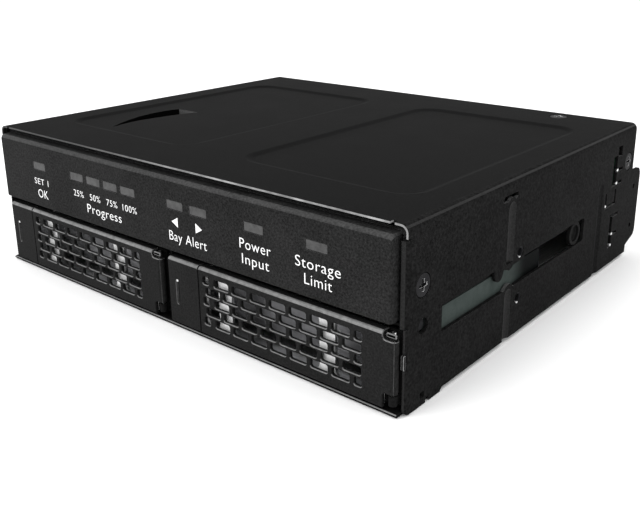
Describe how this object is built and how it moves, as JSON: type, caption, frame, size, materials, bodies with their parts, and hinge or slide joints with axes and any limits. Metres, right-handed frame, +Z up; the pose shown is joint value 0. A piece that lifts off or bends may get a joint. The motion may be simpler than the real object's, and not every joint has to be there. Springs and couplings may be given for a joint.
{
  "type": "two-bay drive module",
  "caption": "Flat black case for a front bay, with an indicator panel over a pair of pull-out trays that have grille doors and push latches.",
  "frame": {"origin": "on the resting plane under the bottom plate, at the middle of the whole object's box", "axes": "+X across the front to the right, +Y from the front to the rear, +Z up"},
  "size_m": [0.146, 0.127, 0.0413],
  "materials": {
    "case_paint": "fine black powder coat",
    "bezel_plastic": "black, fine spark-eroded grain",
    "plated_steel": "bright zinc plate",
    "lens": "dark smoky clear plastic",
    "circuit_board": "green solder mask",
    "rail_plastic": "grey-green moulded plastic",
    "cast_aluminium": "bare casting",
    "chip_plastic": "black moulded package",
    "ribbon": "white flat cable"
  },
  "bodies": {
    "chassis": {"outer_shell": "case_paint", "bottom_plate": "case_paint", "rear_panel": "case_paint", "middle_shelf": "case_paint", "bay_divider": "case_paint", "front_bezel": "bezel_plastic", "light_pipe": "lens", "led_board": "circuit_board", "led_cable": "ribbon", "controller_board": "circuit_board", "controller_chip": "chip_plastic", "heat_sink": "cast_aluminium", "capacitor": "chip_plastic", "buzzer": "chip_plastic", "board_link": "bezel_plastic", "backplane_board": "circuit_board", "host_port_a": "bezel_plastic", "host_port_b": "bezel_plastic", "power_inlet": "bezel_plastic", "top_screw": "plated_steel", "guide_rail_left_outer": "rail_plastic", "guide_rail_left_inner": "rail_plastic", "guide_rail_right_inner": "rail_plastic", "guide_rail_right_outer": "rail_plastic", "board_screw_1": "plated_steel", "board_screw_2": "plated_steel", "board_screw_3": "plated_steel", "board_screw_4": "plated_steel", "drive_connector_left": "bezel_plastic", "side_screw_left_front": "case_paint", "side_screw_left_rear": "case_paint", "drive_connector_right": "bezel_plastic", "side_screw_right_front": "case_paint", "side_screw_right_rear": "case_paint"},
    "tray_right_body": {"tray_right": "plated_steel", "hinge_pin_right": "plated_steel", "latch_spring_right": "plated_steel", "drive_case_right": "cast_aluminium", "drive_lid_right": "cast_aluminium", "drive_board_right": "circuit_board", "drive_screw_right_1": "plated_steel", "drive_screw_right_2": "plated_steel", "drive_screw_right_3": "plated_steel", "drive_screw_right_4": "plated_steel"},
    "door_right_body": {"door_right": "bezel_plastic"},
    "latch_right_body": {"latch_right": "bezel_plastic"},
    "tray_left_body": {"tray_left": "plated_steel", "hinge_pin_left": "plated_steel", "latch_spring_left": "plated_steel", "drive_case_left": "cast_aluminium", "drive_lid_left": "cast_aluminium", "drive_board_left": "circuit_board", "drive_screw_left_1": "plated_steel", "drive_screw_left_2": "plated_steel", "drive_screw_left_3": "plated_steel", "drive_screw_left_4": "plated_steel"},
    "door_left_body": {"door_left": "bezel_plastic"},
    "latch_left_body": {"latch_left": "bezel_plastic"},
    "mute_button_body": {"mute_button": "bezel_plastic"}
  },
  "joints": [
    {"name": "tray_right_slide", "type": "slide", "parent": "chassis", "child": "tray_right_body", "axis": [0, -1, 0], "range_m": [0, 0.11]},
    {"name": "door_right_swing", "type": "hinge", "parent": "tray_right_body", "child": "door_right_body", "pos_m": [0.0707, -0.0624, 0.01], "axis": [0, 0, 1], "range_deg": [0, 90]},
    {"name": "latch_right_push", "type": "slide", "parent": "tray_right_body", "child": "latch_right_body", "axis": [0, 1, 0], "range_m": [0, 0.0015], "stiffness_N_per_m": 400, "springref_m": -0.001},
    {"name": "tray_left_slide", "type": "slide", "parent": "chassis", "child": "tray_left_body", "axis": [0, -1, 0], "range_m": [0, 0.11]},
    {"name": "door_left_swing", "type": "hinge", "parent": "tray_left_body", "child": "door_left_body", "pos_m": [-0.0013, -0.0624, 0.01], "axis": [0, 0, 1], "range_deg": [0, 90]},
    {"name": "latch_left_push", "type": "slide", "parent": "tray_left_body", "child": "latch_left_body", "axis": [0, 1, 0], "range_m": [0, 0.0015], "stiffness_N_per_m": 400, "springref_m": -0.001},
    {"name": "mute_button_push", "type": "slide", "parent": "chassis", "child": "mute_button_body", "axis": [0, -1, 0], "range_m": [0, 0.0008], "stiffness_N_per_m": 400, "springref_m": -0.0005}
  ]
}
